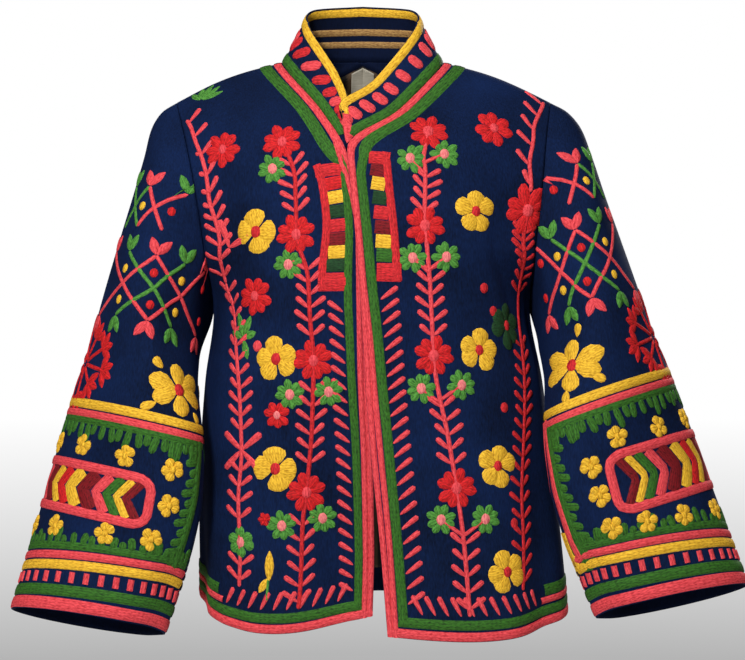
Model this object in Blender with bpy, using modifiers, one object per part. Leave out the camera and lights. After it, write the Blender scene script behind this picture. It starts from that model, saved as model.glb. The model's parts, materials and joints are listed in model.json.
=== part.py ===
# A hip-length embroidered velvet jacket, filled out as if worn, with no wearer inside it.
# Metres, +Z up. The front faces -Y. The origin is where the wearer's shoulders carry it:
# midway between the two points where the collar meets the shoulder seams, 24 mm below them.
#
# Each panel starts as a flat grid, the cut cloth, which is bent into its worn form
# along a table of rows, and then thickened inwards with Solidify.

import math

import bmesh
import bpy
import numpy as np

CLOTH = 0.002
LINING = 0.001
SEAM_GAP = 0.0003
LINING_GAP = 0.0005

# Sizes in metres that more than one piece reads. A row's and a ring's length are typical
# ones, which turn a fold's width into a share of the way across.
ARMPIT_H = 0.340
SHOULDER_H = 0.640
HANG_SHIFT = 0.014
NECK_SHIFT = -0.006
JOIN_LENGTH = 0.11
COLLAR_HEIGHT = 0.052
ROW_LENGTH = 0.24
RING_LENGTH = 0.46
FOLD_FADE = 0.10

# A row runs from the middle of the jacket to its side. h is how far up the cloth it is
# from the hem, edge is its end at the centre or the neckline, side_z is the height of its
# end at the side seam, wrap how far round the body it turns in degrees, full how square
# the turn is, and dip how far its middle hangs below a straight line.
# Columns: h, edge_x, edge_y, edge_z, side_x, side_y, side_z, wrap, full, dip.
OVER_FRONT = (
    (0.000, 0.007, -0.126, -0.590, 0.197, 0.000, -0.567, 90, 2.7, 0.016),
    (0.090, 0.002, -0.129, -0.500, 0.196, 0.000, -0.490, 90, 2.7, 0.008),
    (0.190, -0.005, -0.131, -0.400, 0.192, 0.001, -0.398, 90, 2.45, 0.000),
    (0.270, -0.009, -0.130, -0.320, 0.185, 0.004, -0.325, 90, 2.4, 0.000),
    (0.340, -0.011, -0.127, -0.250, 0.174, 0.004, -0.250, 90, 2.3, 0.000),
    (0.420, -0.015, -0.119, -0.170, 0.178, -0.056, -0.185, 74, 2.3, 0.000),
    (0.510, -0.0205, -0.105, -0.079, 0.185, -0.062, -0.128, 56, 2.1, -0.004),
    (0.575, 0.036, -0.070, -0.036, 0.196, -0.040, -0.060, 42, 2.0, -0.006),
    (0.640, 0.089, 0.004, 0.024, 0.205, 0.000, -0.020, 30, 2.0, -0.006),
)
UNDER_FRONT = (
    (0.000, 0.008, -0.096, -0.572, 0.197, 0.000, -0.556, 90, 2.7, 0.026),
    (0.090, 0.004, -0.104, -0.495, 0.196, 0.000, -0.485, 90, 2.7, 0.012),
    (0.190, 0.003, -0.112, -0.400, 0.192, 0.001, -0.398, 90, 2.45, 0.000),
    (0.270, 0.004, -0.119, -0.320, 0.185, 0.004, -0.325, 90, 2.4, 0.000),
    (0.340, 0.003, -0.121, -0.250, 0.174, 0.004, -0.250, 90, 2.3, 0.000),
    (0.420, 0.002, -0.114, -0.170, 0.178, -0.056, -0.185, 74, 2.3, 0.000),
    (0.510, 0.022, -0.100, -0.079, 0.185, -0.062, -0.128, 56, 2.1, -0.004),
    (0.575, 0.045, -0.070, -0.036, 0.196, -0.040, -0.060, 42, 2.0, -0.006),
    (0.640, 0.089, 0.004, 0.024, 0.205, 0.000, -0.020, 30, 2.0, -0.006),
)
BACK = (
    (0.000, 0.000, 0.122, -0.571, 0.197, 0.000, -0.561, 90, 2.5, 0.004),
    (0.090, 0.000, 0.121, -0.490, 0.196, 0.000, -0.488, 90, 2.5, 0.000),
    (0.190, 0.000, 0.116, -0.400, 0.192, 0.001, -0.398, 90, 2.4, 0.000),
    (0.270, 0.000, 0.116, -0.325, 0.185, 0.004, -0.325, 90, 2.4, 0.000),
    (0.340, 0.000, 0.121, -0.250, 0.174, 0.004, -0.250, 90, 2.3, 0.000),
    (0.420, 0.000, 0.126, -0.165, 0.178, 0.060, -0.185, 74, 2.2, 0.000),
    (0.510, 0.000, 0.113, -0.060, 0.185, 0.068, -0.128, 56, 2.1, -0.004),
    (0.538, 0.000, 0.101, -0.006, 0.188, 0.064, -0.105, 50, 2.0, -0.008),
    (0.560, 0.000, 0.078, 0.034, 0.190, 0.058, -0.085, 46, 2.0, -0.006),
    (0.600, 0.060, 0.056, 0.031, 0.198, 0.036, -0.048, 38, 2.0, -0.006),
    (0.640, 0.089, 0.004, 0.024, 0.205, 0.000, -0.020, 30, 2.0, -0.006),
)
BACK_NECK = -3

# The sleeve's rows run from the armhole to the cuff. t is the distance down its outer
# fold, outer and inner are its two side folds as x, y, z, depth is half its thickness
# front to back, and tilt lifts the front of the section, in degrees.
# Columns: t, outer_x, outer_y, outer_z, inner_x, inner_y, inner_z, depth, tilt.
SLEEVE = (
    (0.000, 0.2050, 0.000, -0.0200, 0.1740, 0.004, -0.250, 0.070, 0),
    (0.020, 0.2225, 0.001, -0.0305, 0.1768, 0.002, -0.262, 0.074, 1),
    (0.044, 0.2365, 0.002, -0.0500, 0.1800, -0.004, -0.274, 0.077, 2),
    (0.076, 0.2455, 0.002, -0.0800, 0.1830, -0.012, -0.288, 0.079, 3),
    (0.118, 0.2570, 0.001, -0.1200, 0.1850, -0.024, -0.304, 0.080, 4),
    (0.165, 0.2710, 0.000, -0.1650, 0.1855, -0.040, -0.323, 0.079, 5),
    (0.225, 0.2880, -0.004, -0.2220, 0.1830, -0.060, -0.348, 0.077, 7),
    (0.290, 0.3060, -0.010, -0.2850, 0.1790, -0.080, -0.378, 0.070, 9),
    (0.353, 0.3250, -0.018, -0.3450, 0.1770, -0.094, -0.410, 0.066, 11),
    (0.416, 0.3430, -0.027, -0.4050, 0.1780, -0.101, -0.446, 0.063, 13),
    (0.483, 0.3610, -0.038, -0.4700, 0.1870, -0.102, -0.494, 0.061, 14),
    (0.545, 0.3780, -0.049, -0.5300, 0.2040, -0.094, -0.547, 0.061, 15),
    (0.587, 0.3890, -0.056, -0.5680, 0.2200, -0.091, -0.592, 0.060, 15),
)
SLEEVE_LENGTH = SLEEVE[-1][0]
# Each sleeve swings out from the shoulder, and the right one is pushed up a little.
SWING = {-1: math.radians(-0.7), 1: math.radians(2.2)}
PUSHED_UP = {-1: 0.0, 1: 0.016}
SWING_PIVOT = (0.205, -0.060)

# How the collar stands on the neckline: at a height h of the front or back rows, how far
# its top edge lies from its seam, inwards, backwards and up.
# Columns: h, lean_x, lean_y, rise.
COLLAR_FRONT = (
    (0.510, -0.004, 0.018, 0.044),
    (0.560, -0.018, 0.018, 0.038),
    (0.640, -0.029, 0.001, 0.046),
)
COLLAR_BACK = (
    (0.560, 0.000, -0.008, 0.062),
    (0.600, -0.012, -0.006, 0.059),
    (0.640, -0.029, 0.001, 0.046),
)

# The largest folds. across is the share of the way from the centre to the side, width and
# depth are in metres, depth is positive for a ridge, and low and high are cloth heights
# between which the fold runs, at its deepest at deepest. lean is how far across it moves.
# Columns: across, lean, width, depth, low, deepest, high.
OVER_FOLDS = (
    (0.86, -0.06, 0.030, 0.008, -0.20, 0.00, 0.20),
    (0.70, -0.04, 0.022, -0.008, -0.20, 0.00, 0.36),
    (0.45, 0.00, 0.045, 0.004, -0.20, 0.06, 0.40),
    (0.80, 0.10, 0.030, -0.008, 0.22, 0.42, 0.60),
)
UNDER_FOLDS = (
    (0.50, 0.02, 0.055, 0.010, -0.20, 0.02, 0.40),
    (0.16, 0.04, 0.030, -0.007, -0.20, 0.05, 0.40),
    (0.86, -0.04, 0.030, -0.007, -0.20, 0.00, 0.34),
    (0.80, 0.10, 0.030, -0.008, 0.22, 0.42, 0.60),
)
BACK_FOLDS = (
    (0.30, 0.02, 0.045, -0.008, -0.20, 0.00, 0.36),
    (0.62, 0.00, 0.050, 0.008, -0.20, 0.02, 0.34),
    (0.88, 0.00, 0.030, -0.006, -0.20, 0.00, 0.30),
    (0.82, 0.08, 0.032, -0.008, 0.22, 0.42, 0.60),
)
FRONT_FOLDS = {-1: UNDER_FOLDS, 1: OVER_FOLDS}
# On the sleeve, across is the share of the way round from the underarm, by the front.
SLEEVE_FOLDS = (
    (0.16, 0.10, 0.030, -0.009, 0.02, 0.16, 0.36),
    (0.30, -0.10, 0.030, 0.005, 0.04, 0.22, 0.44),
    (0.84, -0.08, 0.032, -0.009, 0.02, 0.17, 0.38),
    (0.70, 0.06, 0.034, 0.005, 0.06, 0.24, 0.46),
    (0.08, 0.00, 0.026, -0.005, 0.34, 0.58, 0.80),
    (0.92, 0.00, 0.026, -0.005, 0.34, 0.58, 0.80),
)

SIDES = {"left": -1, "right": 1}


def smooth_table(table, at):
    """The columns of a table after its first, on a smooth curve that never overshoots a row."""
    table = np.array(table, float)
    knots, values = table[:, 0], table[:, 1:]
    step = np.diff(knots)[:, None]
    slope = np.diff(values, axis=0) / step
    before, after = slope[:-1], slope[1:]
    total = np.where(before * after > 0, before + after, 1)
    bend = np.where(before * after > 0, 2 * before * after / total, 0)
    tangent = np.vstack([slope[:1], bend, slope[-1:]])
    i = np.clip(np.searchsorted(knots, at, side="right") - 1, 0, len(step) - 1)
    s = ((at - knots[i]) / step[i, 0])[:, None]
    return (
        values[i] * (1 + 2 * s) * (1 - s) ** 2
        + tangent[i] * step[i] * s * (1 - s) ** 2
        + values[i + 1] * s**2 * (3 - 2 * s)
        - tangent[i + 1] * step[i] * s**2 * (1 - s)
    )


def with_far_side(table, other):
    """A table with the first row over the shoulder added, so that it rounds the shoulder."""
    top = table[-1][0]
    return table + ((2 * top - other[-2][0],) + other[-2][1:],)


def placed(points, side, share=1.0):
    """A form made on the positive half, put on its own side, where the jacket hangs askew."""
    x, y, z = points[..., 0], points[..., 1], points[..., 2]
    sway = np.interp(z, (-0.60, -0.10, 0.00), (HANG_SHIFT, 0.0, NECK_SHIFT))
    return np.stack([side * x + sway * share, y, z], axis=-1)


def row_points(row, shares):
    """Points at equal shares of one row's length, from the centre to the side."""
    edge_x, edge_y, edge_z, side_x, side_y, side_z, wrap, full, dip = row
    turn = np.linspace(0, math.radians(wrap), 81)
    out = np.sin(turn) ** (2 / full)
    back = np.maximum(np.cos(turn), 0) ** (2 / full)
    x = edge_x + (side_x - edge_x) * out / out[-1]
    y = side_y + (edge_y - side_y) * (back - back[-1]) / (back[0] - back[-1])
    length = np.concatenate([[0], np.cumsum(np.hypot(np.diff(x), np.diff(y)))])
    share = length / length[-1]
    x = np.interp(shares, share, x)
    y = np.interp(shares, share, y)
    z = edge_z + (side_z - edge_z) * shares - dip * np.sin(math.pi * shares)
    return np.stack([x, y, z], axis=1)


def fold_height(folds, across, h, length):
    """The height of all the folds over the plain form, at shares across and heights h."""
    total = np.zeros(np.broadcast(across, h).shape)
    for place, lean, width, depth, low, deepest, high in folds:
        rise = np.where(h < deepest, (h - low) / (deepest - low), (high - h) / (high - deepest))
        rise = np.clip(rise, 0, 1)
        centre = place + lean * (h - deepest) / (high - low)
        ridge = np.exp(-(((across - centre) * length / width) ** 2))
        total = total + depth * rise**2 * (3 - 2 * rise) * ridge
    return total


def lifted(points, height, outwards):
    """Points moved out along the surface by a height each."""
    normal = np.cross(np.gradient(points, axis=1), np.gradient(points, axis=0))
    normal /= np.linalg.norm(normal, axis=2)[:, :, None]
    return points + outwards * normal * height[:, :, None]


def panel_rows(table, other, heights):
    """The rows of a table at some heights. The back's neckline is a quarter of an ellipse."""
    rows = smooth_table(with_far_side(table, other), heights)
    if table is BACK:
        centre, shoulder = np.array(BACK[BACK_NECK][1:4]), np.array(BACK[-1][1:4])
        turn = np.interp(heights, (BACK[BACK_NECK][0], SHOULDER_H), (0, math.pi / 2))[:, None]
        ellipse = shoulder + (centre - shoulder) * np.cos(turn)
        ellipse[:, 0] = centre[0] + (shoulder - centre)[0] * np.sin(turn[:, 0])
        rows[:, :3] = np.where(turn > 0, ellipse, rows[:, :3])
    return rows


def body_form(table, other, folds, side, facing, shares, heights, depth=0.0):
    """A grid of points on a front or on half of the back. facing is -1 at the front."""
    rows = panel_rows(table, other, heights)
    plain = np.array([row_points(row, shares) for row in rows])
    fade = np.clip((0.5 - np.abs(shares - 0.5)) / FOLD_FADE, 0, 1)[None, :] ** 2
    height = fold_height(folds, shares[None, :], heights[:, None], ROW_LENGTH) * fade
    points = lifted(plain, height + depth, -facing)
    on_middle = (plain[..., 0] == 0) & (facing > 0)
    points[..., 0] = np.where(on_middle, 0, points[..., 0])
    return placed(points, side)


def front_table(side):
    return OVER_FRONT if side > 0 else UNDER_FRONT


def armhole(side, turns):
    """Points round an armhole, from the armpit up the front and down the back."""
    up = np.interp(turns, (0, 0.5, 1), (ARMPIT_H, SHOULDER_H, ARMPIT_H))
    front = panel_rows(front_table(side), BACK, up)
    back = panel_rows(BACK, OVER_FRONT, up)
    return np.where((turns <= 0.5)[:, None], front, back)[:, 3:6]


def sleeve_rings(side, turns, distances):
    """Rings of points down a sleeve before it is joined to the armhole."""
    rows = smooth_table(SLEEVE, distances)
    outer, inner, depth, tilt = rows[:, 0:3], rows[:, 3:6], rows[:, 6], np.radians(rows[:, 7])
    angle = 2 * math.pi * turns
    forward = np.stack([0 * tilt, -np.cos(tilt), np.sin(tilt)], axis=1) * depth[:, None]
    points = (
        ((outer + inner) / 2)[:, None]
        - ((outer - inner) / 2)[:, None] * np.cos(angle)[None, :, None]
        + forward[:, None] * np.sin(angle)[None, :, None]
    )
    share = np.clip(distances / SLEEVE_LENGTH, 0, 1)
    turn = SWING[side] * share * (2 - share)
    x, z = points[..., 0] - SWING_PIVOT[0], points[..., 2] - SWING_PIVOT[1]
    c, s = np.cos(turn)[:, None], np.sin(turn)[:, None]
    points[..., 0] = SWING_PIVOT[0] + c * x - s * z
    points[..., 2] = SWING_PIVOT[1] + s * x + c * z + PUSHED_UP[side] * share[:, None]
    return points


def sleeve_form(side, turns, distances):
    """A grid of points on a sleeve: its first ring is the armhole."""
    points = sleeve_rings(side, turns, distances)
    start = sleeve_rings(side, turns, np.array([0.0]))[0]
    join = np.clip(1 - distances / JOIN_LENGTH, 0, 1)
    join = (join**2 * (3 - 2 * join))[:, None, None]
    points = points + join * (armhole(side, turns) - start)[None]
    ease = np.clip(distances / 0.05, 0, 1)[:, None]
    height = sum(
        fold_height(SLEEVE_FOLDS, turns[None, :] + whole, distances[:, None], RING_LENGTH)
        for whole in (-1, 0, 1)
    )
    points = lifted(points, height * ease, -1)
    return placed(points, side, join[..., 0])


def collar_form(stations, rises):
    """A grid on the collar. Stations run from -1, the under end, by the back to 1."""
    columns = []
    for station in stations:
        side = 1 if station > 0 else -1
        if abs(station) > 0.5:
            h = np.interp(abs(station), (0.5, 1), (SHOULDER_H, COLLAR_FRONT[0][0]))
            row, lean = panel_rows(front_table(side), BACK, np.array([h])), COLLAR_FRONT
        else:
            h = np.interp(abs(station), (0, 0.5), (COLLAR_BACK[0][0], SHOULDER_H))
            row, lean = panel_rows(BACK, OVER_FRONT, np.array([h])), COLLAR_BACK
        seam = row[0, :3]
        top = seam + smooth_table(lean, np.array([h]))[0]
        ends = placed(np.array([seam, top]), side)
        columns.append([ends[0] + (ends[1] - ends[0]) * rise for rise in rises])
    return np.array(columns).transpose(1, 0, 2)


def material(name, colour, roughness):
    made = bpy.data.materials.new(name)
    made.use_nodes = True
    shader = made.node_tree.nodes["Principled BSDF"]
    shader.inputs["Base Color"].default_value = (*colour, 1.0)
    shader.inputs["Roughness"].default_value = roughness
    shader.inputs["Metallic"].default_value = 0.0
    made.diffuse_color = (*colour, 1.0)
    return made


def grid_mesh(bm, points):
    """Adds a flat grid to bm and bends it so that its corners lie on a grid of points."""
    rows, columns = points.shape[:2]
    made = bmesh.ops.create_grid(bm, x_segments=columns - 1, y_segments=rows - 1, size=1.0)
    for vertex in made["verts"]:
        column = round((vertex.co.x + 1) / 2 * (columns - 1))
        row = round((vertex.co.y + 1) / 2 * (rows - 1))
        vertex.co = points[row, column]


def cloth_piece(name, grids, thickness, cloth, turned):
    """One cut piece, from one or more grids that join where they meet, thickened inwards."""
    bm = bmesh.new()
    for points, turn in zip(grids, turned):
        before = set(bm.faces)
        grid_mesh(bm, points)
        if turn:
            bmesh.ops.reverse_faces(bm, faces=[face for face in bm.faces if face not in before])
    bmesh.ops.remove_doubles(bm, verts=bm.verts, dist=1e-5)
    mesh = bpy.data.meshes.new(name)
    bm.to_mesh(mesh)
    bm.free()
    mesh.materials.append(cloth)
    mesh.shade_smooth()
    piece = bpy.data.objects.new(name, mesh)
    jacket.objects.link(piece)
    wall = piece.modifiers.new("wall", "SOLIDIFY")
    wall.thickness = thickness
    wall.offset = -1.0
    return piece


for old in list(bpy.data.objects):
    bpy.data.objects.remove(old)
jacket = bpy.data.collections.new("velvet_jacket")
bpy.context.scene.collection.children.link(jacket)

velvet = material("velvet", (0.012, 0.020, 0.060), 0.85)
lining_cloth = material("lining", (0.030, 0.026, 0.024), 0.70)
label_cloth = material("label", (0.420, 0.400, 0.380), 0.80)

# Every panel stops half a seam gap short of its side and shoulder seams. The strips beside
# the seams are narrow, so that the walls on both sides of a seam lie in one plane.
NECK_FRONT = np.array((*np.linspace(COLLAR_FRONT[0][0], 0.630, 8), 0.6386))
NECK_BACK = np.array((*np.linspace(COLLAR_BACK[0][0], 0.630, 8), 0.6386))
BELOW_NECK = np.linspace(0, 0.48, 17)
TOP_ROW = SHOULDER_H - SEAM_GAP / 2
across = np.array((*np.linspace(0, 0.975, 14), 0.99, 1 - SEAM_GAP / 2 / ROW_LENGTH))
up_front = np.array((*BELOW_NECK, *NECK_FRONT, TOP_ROW))
up_back = np.array((*BELOW_NECK, 0.508, 0.538, 0.556, *NECK_BACK, TOP_ROW))
for word, side in SIDES.items():
    table, folds = front_table(side), FRONT_FOLDS[side]
    points = body_form(table, BACK, folds, side, -1, across, up_front)
    cloth_piece(f"front_{word}", [points], CLOTH, velvet, [side < 0])


def back_halves(shares, heights, inside):
    """The two halves of a piece on the back, a depth inside the velvet's outer face."""
    return [
        body_form(BACK, OVER_FRONT, BACK_FOLDS, side, 1, shares, heights, -inside)
        for side in (-1, 1)
    ]


# The back is cut in one, its lining lies 0.5 mm inside it, and a plain woven label hangs
# on the lining. They share their rows, so that none of them cuts through the next.
lining_inside = CLOTH + LINING_GAP
label_inside = lining_inside + LINING + LINING_GAP
lining_across, label_across = across[across < 0.95], across[across < 0.1]
lining_up = up_back[(up_back > 0) & (up_back < 0.558)]
label_up = lining_up[lining_up > 0.53]
cloth_piece("back", back_halves(across, up_back, 0.0), CLOTH, velvet, [False, True])
lining = back_halves(lining_across, lining_up, lining_inside)
cloth_piece("back_lining", lining, LINING, lining_cloth, [False, True])
label = back_halves(label_across, label_up, label_inside)
cloth_piece("neck_label", label, LINING / 2, label_cloth, [False, True])

# Sleeves: the grid's ends meet along the underarm seam.
turns = np.linspace(0, 1, 25)
down = np.array((2 * SEAM_GAP, 0.008, 0.022, 0.044, *np.linspace(0.072, SLEEVE_LENGTH, 18)))
for word, side in SIDES.items():
    cloth_piece(f"sleeve_{word}", [sleeve_form(side, turns, down)], CLOTH, velvet, [side > 0])

# The collar stands on the neckline, its ends meeting at the front.
to_shoulder = np.interp(NECK_BACK, (NECK_BACK[0], SHOULDER_H), (0, 0.5))
to_front = np.interp(NECK_FRONT, (NECK_FRONT[0], SHOULDER_H), (1, 0.5))
half_way = np.array((*to_shoulder, 0.5, *to_front[::-1]))
stations = np.concatenate([-half_way[:0:-1], half_way])
rises = np.linspace(2 * SEAM_GAP / COLLAR_HEIGHT, 1, 5)
cloth_piece("collar", [collar_form(stations, rises)], CLOTH, velvet, [True])
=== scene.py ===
# The looks of a hip-length navy velvet jacket, embroidered all over with wool in chain stitch.
# Each cloth piece repeats its solid's rows at a finer step, as a thin shell. The embroidery is
# drawn on the pieces, s across and t along the cloth, and stands up as real thread.

import json
import math

import bpy
import numpy as np
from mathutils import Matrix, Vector

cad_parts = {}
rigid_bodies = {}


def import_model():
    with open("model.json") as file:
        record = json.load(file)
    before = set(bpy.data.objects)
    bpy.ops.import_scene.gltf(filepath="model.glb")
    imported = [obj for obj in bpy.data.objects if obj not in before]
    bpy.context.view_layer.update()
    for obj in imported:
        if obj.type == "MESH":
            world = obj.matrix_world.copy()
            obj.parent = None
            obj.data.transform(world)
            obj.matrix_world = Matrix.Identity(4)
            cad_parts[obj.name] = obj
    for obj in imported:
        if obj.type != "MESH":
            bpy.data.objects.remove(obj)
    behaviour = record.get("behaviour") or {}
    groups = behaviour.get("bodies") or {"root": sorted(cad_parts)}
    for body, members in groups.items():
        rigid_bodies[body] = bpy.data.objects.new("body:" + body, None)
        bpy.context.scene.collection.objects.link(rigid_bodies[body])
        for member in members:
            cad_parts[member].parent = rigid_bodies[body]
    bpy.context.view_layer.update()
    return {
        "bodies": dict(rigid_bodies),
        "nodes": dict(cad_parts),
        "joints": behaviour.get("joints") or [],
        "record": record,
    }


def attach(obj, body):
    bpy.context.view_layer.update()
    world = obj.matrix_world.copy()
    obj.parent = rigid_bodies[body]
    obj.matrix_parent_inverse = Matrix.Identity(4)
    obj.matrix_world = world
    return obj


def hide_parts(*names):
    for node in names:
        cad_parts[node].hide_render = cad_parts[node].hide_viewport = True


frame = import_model()

# These sizes, the tables and the forms down to the collar's are those of the part's source.
# Sizes are in metres. ROW_LENGTH and RING_LENGTH turn a fold's width into a share of the way
# across.
CLOTH = 0.002
LINING = 0.001
SEAM_GAP = 0.0003
LINING_GAP = 0.0005
ARMPIT_H = 0.340
SHOULDER_H = 0.640
HANG_SHIFT = 0.014
NECK_SHIFT = -0.006
JOIN_LENGTH = 0.11
COLLAR_HEIGHT = 0.052
ROW_LENGTH = 0.24
RING_LENGTH = 0.46
FOLD_FADE = 0.10


def metres(*table, other=()):
    """Rows written in millimetres, in metres but for the columns that hold other values."""
    return tuple(
        tuple(value if column in other else value / 1000 for column, value in enumerate(row))
        for row in table
    )


# Rows from the middle of the jacket to its side, h up the cloth from the hem. wrap is how far
# round the body a row turns in degrees, full how square the turn is, dip how far it hangs.
# Columns: h, edge_x, edge_y, edge_z, side_x, side_y, side_z, wrap, full, dip.
OVER_FRONT = metres(
    (0, 7, -126, -590, 197, 0, -567, 90, 2.7, 16),
    (90, 2, -129, -500, 196, 0, -490, 90, 2.7, 8),
    (190, -5, -131, -400, 192, 1, -398, 90, 2.45, 0),
    (270, -9, -130, -320, 185, 4, -325, 90, 2.4, 0),
    (340, -11, -127, -250, 174, 4, -250, 90, 2.3, 0),
    (420, -15, -119, -170, 178, -56, -185, 74, 2.3, 0),
    (510, -20.5, -105, -79, 185, -62, -128, 56, 2.1, -4),
    (575, 36, -70, -36, 196, -40, -60, 42, 2.0, -6),
    (640, 89, 4, 24, 205, 0, -20, 30, 2.0, -6),
    other=(7, 8),
)
UNDER_FRONT = metres(
    (0, 8, -96, -572, 197, 0, -556, 90, 2.7, 26),
    (90, 4, -104, -495, 196, 0, -485, 90, 2.7, 12),
    (190, 3, -112, -400, 192, 1, -398, 90, 2.45, 0),
    (270, 4, -119, -320, 185, 4, -325, 90, 2.4, 0),
    (340, 3, -121, -250, 174, 4, -250, 90, 2.3, 0),
    (420, 2, -114, -170, 178, -56, -185, 74, 2.3, 0),
    (510, 22, -100, -79, 185, -62, -128, 56, 2.1, -4),
    (575, 45, -70, -36, 196, -40, -60, 42, 2.0, -6),
    (640, 89, 4, 24, 205, 0, -20, 30, 2.0, -6),
    other=(7, 8),
)
BACK = metres(
    (0, 0, 122, -571, 197, 0, -561, 90, 2.5, 4),
    (90, 0, 121, -490, 196, 0, -488, 90, 2.5, 0),
    (190, 0, 116, -400, 192, 1, -398, 90, 2.4, 0),
    (270, 0, 116, -325, 185, 4, -325, 90, 2.4, 0),
    (340, 0, 121, -250, 174, 4, -250, 90, 2.3, 0),
    (420, 0, 126, -165, 178, 60, -185, 74, 2.2, 0),
    (510, 0, 113, -60, 185, 68, -128, 56, 2.1, -4),
    (538, 0, 101, -6, 188, 64, -105, 50, 2.0, -8),
    (560, 0, 78, 34, 190, 58, -85, 46, 2.0, -6),
    (600, 60, 56, 31, 198, 36, -48, 38, 2.0, -6),
    (640, 89, 4, 24, 205, 0, -20, 30, 2.0, -6),
    other=(7, 8),
)
BACK_NECK = -3

# Rows of the sleeve, t down its outer fold: its two side folds, half its thickness, and the
# lift of its front in degrees.
# Columns: t, outer_x, outer_y, outer_z, inner_x, inner_y, inner_z, depth, tilt.
SLEEVE = metres(
    (0, 205, 0, -20, 174, 4, -250, 70, 0),
    (20, 222.5, 1, -30.5, 176.8, 2, -262, 74, 1),
    (44, 236.5, 2, -50, 180, -4, -274, 77, 2),
    (76, 245.5, 2, -80, 183, -12, -288, 79, 3),
    (118, 257, 1, -120, 185, -24, -304, 80, 4),
    (165, 271, 0, -165, 185.5, -40, -323, 79, 5),
    (225, 288, -4, -222, 183, -60, -348, 77, 7),
    (290, 306, -10, -285, 179, -80, -378, 70, 9),
    (353, 325, -18, -345, 177, -94, -410, 66, 11),
    (416, 343, -27, -405, 178, -101, -446, 63, 13),
    (483, 361, -38, -470, 187, -102, -494, 61, 14),
    (545, 378, -49, -530, 204, -94, -547, 61, 15),
    (587, 389, -56, -568, 220, -91, -592, 60, 15),
    other=(8,),
)
SLEEVE_LENGTH = SLEEVE[-1][0]
# Each sleeve swings out from the shoulder, and the right one is pushed up a little.
SWING = {-1: math.radians(-0.7), 1: math.radians(2.2)}
PUSHED_UP = {-1: 0.0, 1: 0.016}
SWING_PIVOT = (0.205, -0.060)

# How far the collar's top edge lies from its seam, at a height h of the front or back rows.
# Columns: h, lean_x, lean_y, rise.
COLLAR_FRONT = metres(
    (510, -4, 18, 44),
    (560, -18, 18, 38),
    (640, -29, 1, 46),
)
COLLAR_BACK = metres(
    (560, 0, -8, 62),
    (600, -12, -6, 59),
    (640, -29, 1, 46),
)

# Folds. across is a share of the way to the side, depth is positive for a ridge, low, deepest
# and high are cloth heights, and lean is how far across the fold moves.
# Columns: across, lean, width, depth, low, deepest, high.
OVER_FOLDS = metres(
    (0.86, -0.06, 30, 8, -200, 0, 200),
    (0.70, -0.04, 22, -8, -200, 0, 360),
    (0.45, 0.00, 45, 4, -200, 60, 400),
    (0.80, 0.10, 30, -8, 220, 420, 600),
    other=(0, 1),
)
UNDER_FOLDS = metres(
    (0.50, 0.02, 55, 10, -200, 20, 400),
    (0.16, 0.04, 30, -7, -200, 50, 400),
    (0.86, -0.04, 30, -7, -200, 0, 340),
    (0.80, 0.10, 30, -8, 220, 420, 600),
    other=(0, 1),
)
BACK_FOLDS = metres(
    (0.30, 0.02, 45, -8, -200, 0, 360),
    (0.62, 0.00, 50, 8, -200, 20, 340),
    (0.88, 0.00, 30, -6, -200, 0, 300),
    (0.82, 0.08, 32, -8, 220, 420, 600),
    other=(0, 1),
)
FRONT_FOLDS = {-1: UNDER_FOLDS, 1: OVER_FOLDS}
# On the sleeve, across is the share of the way round from the underarm, by the front.
SLEEVE_FOLDS = metres(
    (0.16, 0.10, 30, -9, 20, 160, 360),
    (0.30, -0.10, 30, 5, 40, 220, 440),
    (0.84, -0.08, 32, -9, 20, 170, 380),
    (0.70, 0.06, 34, 5, 60, 240, 460),
    (0.08, 0.00, 26, -5, 340, 580, 800),
    (0.92, 0.00, 26, -5, 340, 580, 800),
    other=(0, 1),
)

SIDES = {"left": -1, "right": 1}


def smooth_table(table, at):
    """The columns of a table after its first, on a smooth curve that never overshoots a row."""
    table = np.array(table, float)
    knots, values = table[:, 0], table[:, 1:]
    step = np.diff(knots)[:, None]
    slope = np.diff(values, axis=0) / step
    before, after = slope[:-1], slope[1:]
    total = np.where(before * after > 0, before + after, 1)
    bend = np.where(before * after > 0, 2 * before * after / total, 0)
    tangent = np.vstack([slope[:1], bend, slope[-1:]])
    i = np.clip(np.searchsorted(knots, at, side="right") - 1, 0, len(step) - 1)
    s = ((at - knots[i]) / step[i, 0])[:, None]
    return (
        values[i] * (1 + 2 * s) * (1 - s) ** 2
        + tangent[i] * step[i] * s * (1 - s) ** 2
        + values[i + 1] * s**2 * (3 - 2 * s)
        - tangent[i + 1] * step[i] * s**2 * (1 - s)
    )


def with_far_side(table, other):
    """A table with the first row over the shoulder added, so that it rounds the shoulder."""
    top = table[-1][0]
    return table + ((2 * top - other[-2][0],) + other[-2][1:],)


def placed(points, side, share=1.0):
    """A form made on the positive half, put on its own side, where the jacket hangs askew."""
    x, y, z = points[..., 0], points[..., 1], points[..., 2]
    sway = np.interp(z, (-0.60, -0.10, 0.00), (HANG_SHIFT, 0.0, NECK_SHIFT))
    return np.stack([side * x + sway * share, y, z], axis=-1)


def run_length(points):
    """How far along a path each of its points lies."""
    return np.concatenate([[0], np.cumsum(np.linalg.norm(np.diff(points, axis=0), axis=1))])


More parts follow.
